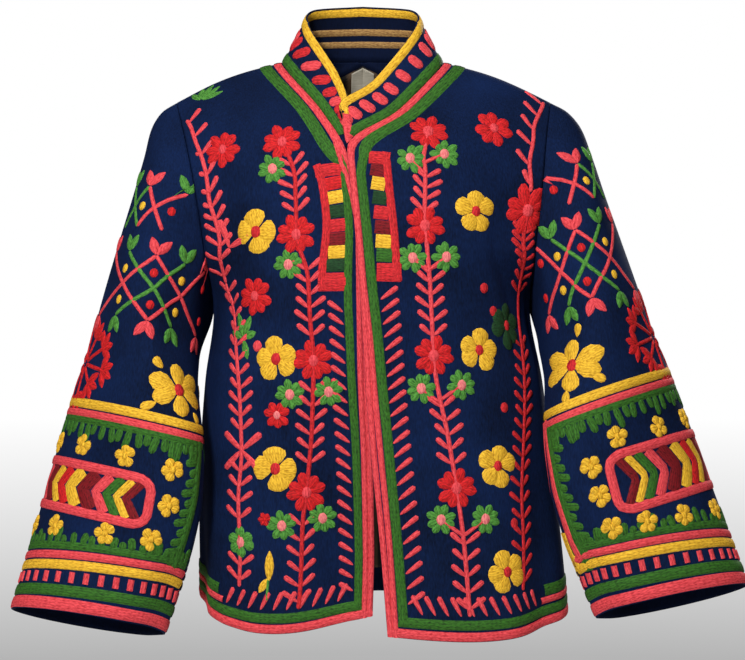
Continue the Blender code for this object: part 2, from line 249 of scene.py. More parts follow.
def row_points(row, shares):
    """Points at equal shares of one row's length, from the centre to the side."""
    edge_x, edge_y, edge_z, side_x, side_y, side_z, wrap, full, dip = row
    turn = np.linspace(0, math.radians(wrap), 81)
    out = np.sin(turn) ** (2 / full)
    back = np.maximum(np.cos(turn), 0) ** (2 / full)
    x = edge_x + (side_x - edge_x) * out / out[-1]
    y = side_y + (edge_y - side_y) * (back - back[-1]) / (back[0] - back[-1])
    length = run_length(np.stack([x, y], axis=1))
    share = length / length[-1]
    x = np.interp(shares, share, x)
    y = np.interp(shares, share, y)
    z = edge_z + (side_z - edge_z) * shares - dip * np.sin(math.pi * shares)
    return np.stack([x, y, z], axis=1)


def fold_height(folds, across, h, length):
    """The height of all the folds over the plain form, at shares across and heights h."""
    total = np.zeros(np.broadcast(across, h).shape)
    for place, lean, width, depth, low, deepest, high in folds:
        rise = np.where(h < deepest, (h - low) / (deepest - low), (high - h) / (high - deepest))
        rise = np.clip(rise, 0, 1)
        centre = place + lean * (h - deepest) / (high - low)
        ridge = np.exp(-(((across - centre) * length / width) ** 2))
        total = total + depth * rise**2 * (3 - 2 * rise) * ridge
    return total


def lifted(points, height, outwards):
    """Points moved out along the surface by a height each."""
    normal = np.cross(np.gradient(points, axis=1), np.gradient(points, axis=0))
    normal /= np.linalg.norm(normal, axis=2)[:, :, None]
    return points + outwards * normal * height[:, :, None]


def panel_rows(table, other, heights):
    """The rows of a table at some heights. The back's neckline is a quarter of an ellipse."""
    rows = smooth_table(with_far_side(table, other), heights)
    if table is BACK:
        centre, shoulder = np.array(BACK[BACK_NECK][1:4]), np.array(BACK[-1][1:4])
        turn = np.interp(heights, (BACK[BACK_NECK][0], SHOULDER_H), (0, math.pi / 2))[:, None]
        ellipse = shoulder + (centre - shoulder) * np.cos(turn)
        ellipse[:, 0] = centre[0] + (shoulder - centre)[0] * np.sin(turn[:, 0])
        rows[:, :3] = np.where(turn > 0, ellipse, rows[:, :3])
    return rows


def body_form(table, other, folds, side, facing, shares, heights, depth=0.0):
    """A grid of points on a front or on half of the back. facing is -1 at the front."""
    rows = panel_rows(table, other, heights)
    plain = np.array([row_points(row, shares) for row in rows])
    fade = np.clip((0.5 - np.abs(shares - 0.5)) / FOLD_FADE, 0, 1)[None, :] ** 2
    height = fold_height(folds, shares[None, :], heights[:, None], ROW_LENGTH) * fade
    points = lifted(plain, height + depth, -facing)
    on_middle = (plain[..., 0] == 0) & (facing > 0)
    points[..., 0] = np.where(on_middle, 0, points[..., 0])
    return placed(points, side)


def front_table(side):
    return OVER_FRONT if side > 0 else UNDER_FRONT


def armhole(side, turns):
    """Points round an armhole, from the armpit up the front and down the back."""
    up = np.interp(turns, (0, 0.5, 1), (ARMPIT_H, SHOULDER_H, ARMPIT_H))
    front = panel_rows(front_table(side), BACK, up)
    back = panel_rows(BACK, OVER_FRONT, up)
    return np.where((turns <= 0.5)[:, None], front, back)[:, 3:6]


def sleeve_rings(side, turns, distances):
    """Rings of points down a sleeve before it is joined to the armhole."""
    rows = smooth_table(SLEEVE, distances)
    outer, inner, depth, tilt = rows[:, 0:3], rows[:, 3:6], rows[:, 6], np.radians(rows[:, 7])
    angle = 2 * math.pi * turns
    forward = np.stack([0 * tilt, -np.cos(tilt), np.sin(tilt)], axis=1) * depth[:, None]
    points = (
        ((outer + inner) / 2)[:, None]
        - ((outer - inner) / 2)[:, None] * np.cos(angle)[None, :, None]
        + forward[:, None] * np.sin(angle)[None, :, None]
    )
    share = np.clip(distances / SLEEVE_LENGTH, 0, 1)
    turn = SWING[side] * share * (2 - share)
    x, z = points[..., 0] - SWING_PIVOT[0], points[..., 2] - SWING_PIVOT[1]
    c, s = np.cos(turn)[:, None], np.sin(turn)[:, None]
    points[..., 0] = SWING_PIVOT[0] + c * x - s * z
    points[..., 2] = SWING_PIVOT[1] + s * x + c * z + PUSHED_UP[side] * share[:, None]
    return points


def sleeve_form(side, turns, distances):
    """A grid of points on a sleeve: its first ring is the armhole."""
    points = sleeve_rings(side, turns, distances)
    start = sleeve_rings(side, turns, np.array([0.0]))[0]
    join = np.clip(1 - distances / JOIN_LENGTH, 0, 1)
    join = (join**2 * (3 - 2 * join))[:, None, None]
    points = points + join * (armhole(side, turns) - start)[None]
    ease = np.clip(distances / 0.05, 0, 1)[:, None]
    height = sum(
        fold_height(SLEEVE_FOLDS, turns[None, :] + whole, distances[:, None], RING_LENGTH)
        for whole in (-1, 0, 1)
    )
    points = lifted(points, height * ease, -1)
    return placed(points, side, join[..., 0])


def collar_form(stations, rises):
    """A grid on the collar. Stations run from -1, the under end, by the back to 1."""
    columns = []
    for station in stations:
        side = 1 if station > 0 else -1
        if abs(station) > 0.5:
            h = np.interp(abs(station), (0.5, 1), (SHOULDER_H, COLLAR_FRONT[0][0]))
            row, lean = panel_rows(front_table(side), BACK, np.array([h])), COLLAR_FRONT
        else:
            h = np.interp(abs(station), (0, 0.5), (COLLAR_BACK[0][0], SHOULDER_H))
            row, lean = panel_rows(BACK, OVER_FRONT, np.array([h])), COLLAR_BACK
        seam = row[0, :3]
        top = seam + smooth_table(lean, np.array([h]))[0]
        ends = placed(np.array([seam, top]), side)
        columns.append([ends[0] + (ends[1] - ends[0]) * rise for rise in rises])
    return np.array(columns).transpose(1, 0, 2)


# Sizes of pile, wool and print. The stitches are a third coarser than real ones, so that they
# show at 1 mm to a pixel.
NAP_PATCH = 0.09
PILE_GRAIN = 0.0014
ROW_PITCH = 0.0030
LOOP_LENGTH = 0.0048
STRAND = 0.0011
WANDER = 0.009
STRIPE_PITCH = 0.026

# A line's mesh step, how far on the next line's strands start, and the least that a fold may
# squeeze an area and a width.
STITCH_STEP = 0.006
NEXT_THREAD = 0.0137
LEAST_AREA = 0.2
LEAST_WIDTH = 0.1

# Folds too small for the solids, in the same columns: creases at the armpits and the hem.
SMALL_FRONT_FOLDS = metres(
    (0.70, 0.10, 10, -2.5, 240, 360, 500),
    (0.90, 0.08, 9, -2, 200, 330, 440),
    (0.60, -0.05, 14, -2, -100, 20, 220),
    (0.78, -0.02, 12, 2, -100, 0, 180),
    (0.33, 0.02, 16, 1.8, 50, 200, 440),
    other=(0, 1),
)
SMALL_BACK_FOLDS = metres(
    (0.72, 0.10, 11, -2.5, 240, 380, 520),
    (0.45, 0.00, 14, 2, -100, 20, 260),
    (0.12, 0.02, 16, -2, -100, 40, 300),
    other=(0, 1),
)


class Panel:
    """A cut piece as a surface. s is metres across from its origin, t metres along its rows."""

    def __init__(self, points, shares, rows, outwards, origin=0.0, inside=0.0):
        self.shares, self.rows, self.origin, self.outwards = shares, rows, origin, outwards
        normal = np.cross(np.gradient(points, axis=1), np.gradient(points, axis=0)) * outwards
        self.normals = normal / np.maximum(np.linalg.norm(normal, axis=2), 1e-9)[:, :, None]
        self.points = points - self.normals * inside
        self.inner = inside > 0
        if self.inner:
            self.normals = -self.normals
        steps = np.linalg.norm(np.diff(points, axis=1), axis=2).sum(axis=1)
        self.length = steps / (shares[-1] - shares[0])

    def at(self, s, t, lift=0.0):
        """Points on the panel, raised by lift."""
        s, t, lift = np.broadcast_arrays(np.asarray(s, float), t, lift)
        row = np.interp(t, self.rows, np.arange(len(self.rows)))
        share = self.origin + s / np.interp(t, self.rows, self.length)
        column = np.interp(share, self.shares, np.arange(len(self.shares)))
        i = np.minimum(row.astype(int), len(self.rows) - 2)
        j = np.minimum(column.astype(int), len(self.shares) - 2)
        a, b = (row - i)[..., None], (column - j)[..., None]
        found = []
        for grid in (self.points, self.normals):
            low = grid[i, j] * (1 - b) + grid[i, j + 1] * b
            high = grid[i + 1, j] * (1 - b) + grid[i + 1, j + 1] * b
            found.append(low * (1 - a) + high * a)
        normal = found[1] / np.maximum(np.linalg.norm(found[1], axis=-1), 1e-9)[..., None]
        return found[0] + normal * lift[..., None]

    def metric(self, s, t):
        """How s and t measure on the cloth: the squares and the product of its slopes."""
        step = 0.002
        length = np.interp(t, self.rows, self.length)
        low, high = (length * (share - self.origin) for share in self.shares[[0, -1]])
        s = np.clip(s, low + step, high - step)
        t = np.clip(t, self.rows[0] + step, self.rows[-1] - step)
        along_s = (self.at(s + step, t) - self.at(s - step, t)) / (2 * step)
        along_t = (self.at(s, t + step) - self.at(s, t - step)) / (2 * step)
        pairs = ((along_s, along_s), (along_s, along_t), (along_t, along_t))
        return [(a * b).sum(axis=-1) for a, b in pairs]


def linear(colour):
    """A colour's sRGB hex value as linear red, green, blue and alpha."""
    parts = [int(colour[i : i + 2], 16) / 255 for i in (0, 2, 4)]
    return (*[p / 12.92 if p <= 0.04045 else ((p + 0.055) / 1.055) ** 2.4 for p in parts], 1.0)


def add(tree, kind, inputs, output=0, **settings):
    """Adds a node, and gives each input a value or another node's output."""
    made = tree.nodes.new("ShaderNode" + kind)
    for name, value in settings.items():
        setattr(made, name, value)
    for name, value in inputs.items():
        if isinstance(value, bpy.types.NodeSocket):
            tree.links.new(value, made.inputs[name])
        else:
            made.inputs[name].default_value = value
    return made.outputs[output]


# What a finish gives, in this order.
FINISH = ("Roughness", "Sheen Weight", "Sheen Roughness", "Specular IOR Level")


def new_material(name, pattern, deep, lit, finish, tint=None, depth=0.0, strength=0.4):
    """A finish whose pattern gives its shade, from deep to lit, and the height of its bump."""
    made = bpy.data.materials.new(name)
    made.use_nodes = True
    tree = made.node_tree
    shader = tree.nodes["Principled BSDF"]
    for socket, value in zip(FINISH, finish):
        shader.inputs[socket].default_value = value
    shader.inputs["Sheen Tint"].default_value = linear(tint or lit)
    shade, height = pattern(tree)
    shades = {0: shade, 6: linear(deep), 7: linear(lit)}
    tree.links.new(add(tree, "Mix", shades, 2, data_type="RGBA"), shader.inputs["Base Color"])
    if depth:
        bump = add(tree, "Bump", {"Height": height, "Distance": depth, "Strength": strength})
        tree.links.new(bump, shader.inputs["Normal"])
    return made


def threads(tree, pitch, detail=2.0):
    """Noise drawn out along the threads. pitch is its grain in x, y and z."""
    place = add(tree, "TexCoord", {}, "Object")
    drawn = add(tree, "Mapping", {"Vector": place, "Scale": [1 / size for size in pitch]})
    return place, add(tree, "TexNoise", {"Vector": drawn, "Scale": 1.0, "Detail": detail})


def velvet_pile(tree):
    """Woven cotton velvet: a short upright pile, almost black, soft blue at its edges."""
    place, pile = threads(tree, (PILE_GRAIN, PILE_GRAIN, 4 * PILE_GRAIN))
    nap = add(tree, "TexNoise", {"Vector": place, "Scale": 1 / NAP_PATCH, "Detail": 3.0})
    shade = add(tree, "Math", {0: nap, 1: 1.2, 2: pile}, operation="MULTIPLY_ADD")
    return add(tree, "MapRange", {"Value": shade, "From Min": 0.65, "From Max": 1.5}), pile


def chain_stitch_with_painted_shade(tree):
    """Worsted wool in rows of chain stitch: fine strands along each row, matt and fuzzy. Its colour
    follows the bump's height: painted shade in the grooves between rows and a little painted light
    where the loops rise.
    """
    place = add(tree, "UVMap", {})
    along, across = (add(tree, "SeparateXYZ", {0: place}, axis) for axis in (0, 1))
    strand = {"Vector": place, "Scale": (1 / LOOP_LENGTH, 1 / STRAND, 1.0)}
    strand = {"Vector": add(tree, "Mapping", strand), "Scale": 1.0, "Detail": 3.0}
    strand = add(tree, "TexNoise", {**strand, "Distortion": 0.6})
    wander = add(tree, "TexNoise", {"Vector": place, "Scale": 1 / WANDER, "Detail": 1.0})
    row = add(tree, "Math", {0: across, 1: 1 / ROW_PITCH, 2: wander}, operation="MULTIPLY_ADD")
    row = add(tree, "Math", {0: row}, operation="FRACT")
    side = add(tree, "Math", {0: row, 1: 0.5}, operation="SUBTRACT")
    side = add(tree, "Math", {0: side}, operation="ABSOLUTE")
    loop = add(tree, "Math", {0: along, 1: 1 / LOOP_LENGTH, 2: side}, operation="MULTIPLY_ADD")
    loop = add(tree, "Math", {0: loop, 1: 2 * math.pi}, operation="MULTIPLY")
    loop = add(tree, "Math", {0: loop}, operation="SINE")
    high = add(tree, "Math", {0: loop, 1: 0.035, 2: strand}, operation="MULTIPLY_ADD")
    # Towards the grooves between rows the height drops, and the colour drops with it: painted
    # shade.
    high = add(tree, "Math", {0: side, 1: -0.24, 2: high}, operation="MULTIPLY_ADD")
    return add(tree, "MapRange", {"Value": high, "From Min": 0.20, "From Max": 0.62}), high


def printed_stripe(tree):
    """Plain woven cotton with a printed stripe up the cloth: thin, matt, with fine threads."""
    place, streak = threads(tree, (1 / 700, 1 / 700, 1 / 25))
    stripe = add(tree, "SeparateXYZ", {0: place})
    stripe = add(tree, "Math", {0: stripe, 1: 2 * math.pi / STRIPE_PITCH}, operation="MULTIPLY")
    stripe = add(tree, "Math", {0: stripe}, operation="SINE")
    stripe = add(tree, "Math", {0: streak, 1: 1.6, 2: stripe}, operation="MULTIPLY_ADD")
    return add(tree, "MapRange", {"Value": stripe, "From Min": 0.9, "From Max": 1.7}), streak


def satin_weave(tree):
    """A bare satin-woven label: fine cross threads, a little shiny."""
    return (threads(tree, (1 / 120, 1 / 120, 1 / 1500))[1],) * 2


def paper_fibres(tree):
    """Matt uncoated paper: a faint mottle of fibres."""
    return (threads(tree, (1 / 300, 1 / 300, 1 / 300), 3.0)[1],) * 2


def linked(name, data):
    """An object made from its data and put in the scene."""
    made = bpy.data.objects.new(name, data)
    bpy.context.scene.collection.objects.link(made)
    return made


def grid_mesh(name, grids, flipped, materials):
    """A mesh over one or more grids of points."""
    points, faces, count = [], [], 0
    for grid in grids:
        rows, columns = grid.shape[:2]
        points.append(grid.reshape(-1, 3))
        faces.append(quads(count + np.arange(rows * columns).reshape(rows, columns)))
        count += rows * columns
    faces = np.concatenate(faces)
    mesh = bpy.data.meshes.new(name)
    mesh.from_pydata(np.concatenate(points), [], faces[:, ::-1] if flipped else faces)
    mesh.shade_smooth()
    for cloth in materials:
        mesh.materials.append(cloth)
    return linked(name, mesh)


def quads(corner):
    """The faces between the numbers of a grid's corners."""
    faces = np.stack([corner[:-1, :-1], corner[:-1, 1:], corner[1:, 1:], corner[1:, :-1]], axis=2)
    return faces.reshape(-1, 4)


def cloth_shell(name, grids, flipped, node, cloths, thickness):
    """The cloth itself, as a shell that stands for its solid."""
    piece = grid_mesh(name, grids, flipped, cloths)
    join = piece.modifiers.new("join", "WELD")
    join.merge_threshold = 1e-5
    wall = piece.modifiers.new("wall", "SOLIDIFY")
    wall.thickness = thickness
    wall.offset = -1.0
    wall.material_offset = len(cloths) - 1
    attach(piece, "root")
    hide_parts(node)


# How a line of stitches swells along its length, from x = 0 to 1. q is the distance to the
# nearer end in half widths.
def round_end(q):
    return np.sqrt(np.clip(q * (2 - np.minimum(q, 1)), 0, 1))


SWELLS = {
    "square": lambda x, q: np.ones_like(x),
    "round": lambda x, q: round_end(q),
    "petal": lambda x, q: 0.08 + 0.92 * np.sin(math.pi * np.clip(x, 0, 1) ** 1.5) ** 0.6,
    "leaf": lambda x, q: 0.06 + 0.94 * np.sin(math.pi * x) ** 0.8,
    "drop": lambda x, q: np.clip(x, 0, 1) ** 0.32 * round_end(q),
}
# Across a line of stitches: the share of its width, and of its height.
SECTION = np.array(((-0.5, -0.35), (-0.38, 0.70), (0.0, 1.0), (0.38, 0.70), (0.5, -0.35)))


class Embroidery:
    """The wool on one panel, in one mesh with a material for each thread."""

    def __init__(self, name, panel):
        self.name, self.panel = name, panel
        self.points, self.faces, self.places, self.threads = [], [], [], []
        self.count, self.made = 0, 0

    def line(self, path, width, thread, swell="round", height=1.3):
        """A raised line of stitches of a width along a path of s and t, all in millimetres."""
        path, width, height = np.asarray(path, float) / 1000, width / 1000, height / 1000
        gone = run_length(path)
        total = gone[-1]
        pieces = round(total / STITCH_STEP)
        if swell == "square":
            where = np.linspace(0, total, max(2, pieces + 1))
        else:
            where = total * (1 - np.cos(np.linspace(0, math.pi, max(7, pieces)))) / 2
        centre = np.stack([np.interp(where, gone, path[:, i]) for i in (0, 1)], axis=1)
        ahead = np.gradient(centre, where, axis=0)
        ahead /= np.maximum(np.hypot(*ahead.T), 1e-9)[:, None]
        reach = np.minimum(where, total - where) / (width / 2)
        full = SWELLS[swell](where / total, reach)
        offset = SECTION[:, 0][None, :] * (full * width)[:, None]
        square_s, product, square_t = self.panel.metric(*centre.T)
        # The way across the line, square to it on the cloth itself.
        turned_s = product * ahead[:, 0] + square_t * ahead[:, 1]
        turned_t = -square_s * ahead[:, 0] - product * ahead[:, 1]
        area = np.sqrt(np.maximum(square_s * square_t - product**2, LEAST_AREA**2))
        run = np.sqrt(turned_s * ahead[:, 1] - turned_t * ahead[:, 0])
        shrink = np.maximum(area * run, LEAST_WIDTH)
        s = centre[:, 0, None] - (turned_s / shrink)[:, None] * offset
        t = centre[:, 1, None] - (turned_t / shrink)[:, None] * offset
        lift = SECTION[:, 1][None, :] * height * (0.35 + 0.65 * full)[:, None]
        grid = self.panel.at(s, t, lift)
        rows, columns = s.shape
        corner = self.count + np.arange(rows * columns).reshape(rows, columns)
        start = NEXT_THREAD * self.made
        place = np.stack([np.broadcast_to(where[:, None] + start, s.shape), offset], axis=2)
        self.points.append(grid.reshape(-1, 3))
        self.places.append(place.reshape(-1, 2))
        self.faces.append(quads(corner))
        self.threads.append(np.full(len(self.faces[-1]), THREADS.index(thread)))
        self.count += rows * columns
        self.made += 1

    def spoke(self, s, t, angle, near, far, width, thread, swell="petal", height=1.3, stretch=1.0):
        """A line that leaves a centre at an angle in degrees, measured on the cloth itself."""
        square_s, product, square_t = self.panel.metric(s / 1000, t / 1000)
        up = 1 / math.sqrt(max(square_t - product**2 / square_s, LEAST_AREA))
        c, d = stretch * math.cos(math.radians(angle)), math.sin(math.radians(angle)) * up
        c = (c - product / math.sqrt(square_s) * d) / math.sqrt(square_s)
        ends = [(s + reach * c, t + reach * d) for reach in (near, far)]
        self.line(ends, width, thread, swell, height)

    def dot(self, s, t, size, thread, height=1.3):
        self.spoke(s, t, 90, -size / 2, size / 2, size, thread, "round", height)

    def flower(
        self, s, t, size, petals, thread, eye, turn=90, eye_size=0.32, stretch=1.0, height=1.5
    ):
        """Petals round an eye, of an overall size."""
        width = size * 2.35 / petals
        for k in range(petals):
            far = size / 2 * (1.0, 0.93, 0.97)[k % 3]
            angle = turn + 360 * (k + 0.12 * math.sin(2.4 * k)) / petals
            lift = height + 0.15 * (k % 2)
            self.spoke(s, t, angle, size * 0.05, far, width, thread, "petal", lift, stretch)
        self.dot(s, t, size * eye_size, eye, height + 0.8)

    def half_width(self, t):
        """How far the panel reaches across at t, in millimetres."""
        return np.interp(np.asarray(t) / 1000, self.panel.rows, self.panel.length) * 1000

    def finish(self):
        """Makes the mesh."""
        mesh = bpy.data.meshes.new(self.name)
        faces = np.concatenate(self.faces)
        sense = self.panel.outwards * (1 if self.panel.inner else -1)
        mesh.from_pydata(np.concatenate(self.points), [], faces if sense < 0 else faces[:, ::-1])
        mesh.polygons.foreach_set("material_index", np.concatenate(self.threads))
        corners = np.empty(len(mesh.loops), int)
        mesh.loops.foreach_get("vertex_index", corners)
        layer = mesh.uv_layers.new(name="thread")
        layer.data.foreach_set("uv", np.concatenate(self.places)[corners].ravel())
        mesh.shade_smooth()
        for thread in THREADS:
            mesh.materials.append(wool[thread])
        piece = linked(self.name, mesh)
        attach(piece, "root")


# Wool shades: name, its colour darkened as painted shade in the grooves, its colour on the loops.
SHADES = (
    ("coral", "a81a25", "ea5157"),
    ("scarlet", "7d0a10", "d92a30"),
    ("rose", "c0505a", "f08a84"),
    ("red", "75080c", "de1e22"),
    ("maroon", "3c0206", "86101a"),
    ("yellow", "a8740a", "f4c236"),
    ("green", "12300b", "38701f"),
    ("leaf", "1c4a14", "56983c"),
    ("pine", "081c0b", "1a4420"),
    ("tan", "6a4420", "b08a52"),
)
THREADS = [row[0] for row in SHADES]
# Finishes, in the order of FINISH.
VELVET, WOOL = (0.9, 0.05, 0.35, 0.08), (0.8, 0.12, 0.5, 0.25)
COTTON, SATIN = (0.75, 0.1, 0.5, 0.25), (0.5, 0.2, 0.4, 0.25)
PAPER = (0.95, 0.0, 0.5, 0.25)
velvet, facing = (
    new_material(f"cotton_{name}_navy", velvet_pile, deep, lit, VELVET, "2c50b4", 0.0004, 0.35)
    for name, deep, lit in (("velvet", "040b1c", "0e2148"), ("facing", "040816", "0a1530"))
)
wool = {
    name: new_material(
        f"worsted_wool_{name}", chain_stitch_with_painted_shade, deep, lit, WOOL, depth=0.0009, strength=0.6
    )
    for name, deep, lit in SHADES
}
lining = new_material(
    "cotton_lining_striped", printed_stripe, "060403", "4a3826", COTTON, depth=0.0003
)
label = new_material("woven_label_bare", satin_weave, "8d8676", "c4bdac", SATIN, depth=0.0002)
paper = new_material("studio_paper_pale", paper_fibres, "c9c9c9", "dcdcdc", PAPER)

# The panels, and the cloth on them.
fine_across = np.linspace(0, 1 - SEAM_GAP / 2 / ROW_LENGTH, 65)
fine_up = np.linspace(0, SHOULDER_H - SEAM_GAP / 2, 161)
fine_back = np.concatenate([fine_up[fine_up < 0.558], np.linspace(0.56, fine_up[-1], 33)])
fine_turns = np.linspace(0, 1, 121)
fine_down = np.linspace(2 * SEAM_GAP, SLEEVE_LENGTH, 141)


def back_grids(shares, heights, inside=0.0):
    """The two halves of a piece on the back, a depth inside the velvet's outer face."""
    folds = BACK_FOLDS + SMALL_BACK_FOLDS
    left, right = (
        body_form(BACK, OVER_FRONT, folds, side, 1, shares, heights, -inside) for side in (-1, 1)
    )
    return [left[:, ::-1], right]


def back_panel(grids, shares, heights):
    points = np.concatenate([grids[0][:, :-1], grids[1]], axis=1)
    return Panel(points, np.concatenate([-shares[:0:-1], shares]), heights, -1)


def level_rows(points):
    """A sleeve's points again, on rows square to its run, for drawing on."""
    run = points[-1].mean(axis=0) - points[len(points) // 2].mean(axis=0)
    down = points @ (run / np.linalg.norm(run))
    levels = np.linspace(down.min(), down.max(), 181)
    columns = [
        [np.interp(levels, down[:, j], points[:, j, k]) for k in range(3)]
        for j in range(points.shape[1])
    ]
    return np.array(columns).transpose(2, 0, 1), levels - levels[0]


panels = {}
for word, side in SIDES.items():
    folds = FRONT_FOLDS[side] + SMALL_FRONT_FOLDS
    points = body_form(front_table(side), BACK, folds, side, -1, fine_across, fine_up)
    panels[f"front_{word}"] = Panel(points, fine_across, fine_up, side)
    points = sleeve_form(side, fine_turns, fine_down)[:, ::-1]
    panels[f"sleeve_{word}"] = Panel(points, fine_turns, fine_down, side, 0.5)
stations = np.linspace(-1, 1, 161)
rises = np.linspace(-SEAM_GAP / COLLAR_HEIGHT, 1, 9)
panels["collar"] = Panel(collar_form(stations, rises), stations, rises * COLLAR_HEIGHT, -1)
for name, panel in panels.items():
    turned = panel.outwards < 0
    cloth_shell(f"velvet_{name}", [panel.points], turned, name, [velvet, facing], CLOTH)
grids = back_grids(fine_across, fine_back)
panels["back"] = back_panel(grids, fine_across, fine_back)
cloth_shell("velvet_back", grids, True, "back", [velvet, facing], CLOTH)
for word, side in SIDES.items():
    points, levels = level_rows(panels[f"sleeve_{word}"].points)
    panels[f"level_sleeve_{word}"] = Panel(points, fine_turns, levels, side, 0.5)
lining_inside = CLOTH + LINING_GAP
lining_grids = back_grids(np.linspace(0, 0.90, 45), np.linspace(0.030, 0.556, 101), lining_inside)
cloth_shell("striped_back_lining", lining_grids, True, "back_lining", [lining], LINING)
label_grids = back_grids(np.linspace(0, 0.075, 9), np.linspace(0.538, 0.556, 13), 2 * lining_inside)
cloth_shell("woven_neck_label", label_grids, True, "neck_label", [label], LINING / 2)


# Embroidery. From here on s and t are in millimetres on a panel, and t runs up the body
# pieces and the collar, and down the sleeves.
NECK_T = COLLAR_FRONT[0][0] * 1000
TOP_T = SHOULDER_H * 1000 - 4


def steps(first, last):
    return np.linspace(first, last, max(2, round(abs(last - first) / (1000 * STITCH_STEP)) + 1))


def up(s, low, high):
    """A path up a panel at one distance across, or along a table of t and s."""
    rows = steps(low, high)
    across = smooth_table(s, rows)[:, 0] if isinstance(s, tuple) else np.full(len(rows), float(s))
    return np.stack([across, rows], axis=1)


def across(t, first, last):
    """A path across a panel at one t, or at a t that changes with s."""
    places = steps(first, last)
    rows = t(places) if callable(t) else np.full(len(places), float(t))
    return np.stack([places, rows], axis=1)


def stem_at(stem, t):
    return smooth_table(stem, np.array([t]))[0, 0]


def vine(work, stem, low, high, thread, leaf, length=20, gaps=(), pitch=17):
    """A stem with pairs of slanting leaves, closer higher up, bare at its flowers."""
    work.line(up(stem, low, high), 5, thread)
    t, step = low + 7, 0
    while t < high - 4:
        if not any(first < t < last for first, last in gaps):
            s = stem_at(stem, t)
            room = work.half_width(t + 14) - 5 - abs(s)
            for way in (-1, 1):
                wave = 3 * math.sin(1.7 * step + way)
                reach = min(length + wave / 2, room / 0.74) if way * s > 0 else length + wave / 2
                if reach > 6:
                    work.spoke(s, t, 90 - way * (50 + wave), 1, reach, 7.0, leaf, "drop")
        t, step = t + pitch - 5 * t / 600, step + 1


def flower_pair(work, s, t):
    """Two pale green flowers on short stalks, below a red one."""
    for way in (-1, 1):
        work.line([(s, t - 14), (s + 18 * way, t)], 4, "coral")
        work.flower(s + 18 * way, t + 2 * way, 33, 8, "leaf", "rose", 90 + 12 * way, 0.36)


def bands(work, half, table, height=1.5):
    """Flat bands across a panel. Columns: t, width, thread."""
    for t, width, thread in table:
        work.line(across(t, -half, half), width, thread, "square", height)


def slanting(work, s, low, high, rise, run):
    """A row of slanting dashes up a panel."""
    t = low
    while t < high:
        place = stem_at(s, t)
        work.line([(place, t), (place + run, t + rise)], 6.8, "coral", "drop")
        t += 16 - 3 * t / 350


def ladder(work, inner, outer, low, high, bars):
    """A striped block beside the front edge. The outer side is the middle of its frame."""
    step = (high - low) / len(bars)
    for k, thread in enumerate(bars):
        t = high - (k + 0.5) * step
        ends = [(np.interp(t, (low, high), inner), t), (np.interp(t, (low, high), outer) - 4, t)]
        work.line(ends, step * 1.03, thread, "square", 1.0)
    rows = steps(low - 20, high + 16)
    frame = np.stack([np.interp(rows, (low, high), outer), rows], axis=1)
    work.line(frame, 9.5, "scarlet", "square", 1.5)
    work.line([(inner[1] - 1, high + 6), (outer[1] + 4, high + 9)], 15, "scarlet", "square", 1.4)
    work.line([(inner[0] - 1, low - 11), (outer[0] + 4, low - 11)], 21, "scarlet", "square", 1.4)


def bud(work, s, t, way, thread):
    """A pair of petals where lattice lines meet at an edge."""
    for turn in (-27, 27):
        work.spoke(s, t, way * 90 + turn, 1, 21, 11.5, thread, "leaf", 1.6)


def lattice(work, side, first, pitch, threads, top, bottom, span):
    """Crossing lines over one or two pitches, with buds at both edges and dots between."""
    for k, thread in enumerate(threads):
        s = first + k * pitch
        for start, end in ((top, bottom), (bottom, top)):
            if k + span < len(threads):
                work.line([(side * s, start), (side * (s + span * pitch), end)], 4.8, thread)
            if span == 2 or start == top:
                bud(work, side * s, start, -1 if start == top else 1, thread)
        for share in ((0.5,) if span == 1 else (0.27, 0.76)):
            if k:
                work.dot(side * s, top + (bottom - top) * share, 10, ("red", "yellow")[k % 2], 1.6)


def spray(work, s, t):
    """A ring of twigs, each with a tuft of short petals."""
    for k, angle in enumerate((-30, 8, 42, 80, 125, 165, 205, 250, 292)):
        reach = 46 + 6 * math.sin(2.1 * k)
        c, d = math.cos(math.radians(angle)), math.sin(math.radians(angle))
        work.line([(s + c * 4, t + d * 4), (s + c * reach, t + d * reach)], 4.6, "red")
        x, y = s + c * reach * 0.75, t + d * reach * 0.75
        for turn in (-75, -30, 12, 55):
            work.spoke(x, y, angle + turn, 0, 21, 11, "red", "leaf", 1.5)


def fringe(work, t, half, way, long=14):
    """Grass: a band with uneven blades on one side."""
    bands(work, half, ((lambda s: t(s) + way * 2, 9, "green"),), 1.1)
    for k, s in enumerate(np.arange(4 - half, half - 3, 9.6)):
        root = t(s) + way * 4
        length = long + 4 * math.sin(2.3 * k) + 2.5 * math.sin(5.1 * k)
        lean = 3 * math.sin(1.9 * k)
        work.line([(s, root), (s + lean, root + way * length)], 9.2, "green", "round", 1.2)


# Columns: thread, width.
CHEVRONS = (
    ("maroon", 10), ("yellow", 9), ("green", 11), ("coral", 12), ("maroon", 17),
    ("yellow", 16), ("red", 13), ("yellow", 12), ("maroon", 14), ("coral", 12),
)


def chevrons(work, side, reach, middle, half):
    """One end of a framed bar of chevrons that point to the outer fold."""
    s = reach - 23
    for thread, width in CHEVRONS:
        tip = s - width / 2
        path = [(tip + 13, middle - half + 3), (tip, middle), (tip + 13, middle + half - 3)]
        if tip > 0:
            work.line([(side * x, y) for x, y in path], width * 1.05, thread, "square", 1.0)
        s -= width
    h, e = half + 1, reach - 4
    frame = [(0, -h), (e - 14, -h), (e - 4, 4 - h), (e - 1, 12 - h)]
    frame += [(x, -y) for x, y in frame[::-1]]
    work.line([(side * x, middle + y) for x, y in frame], 11, "coral", "square", 1.8)


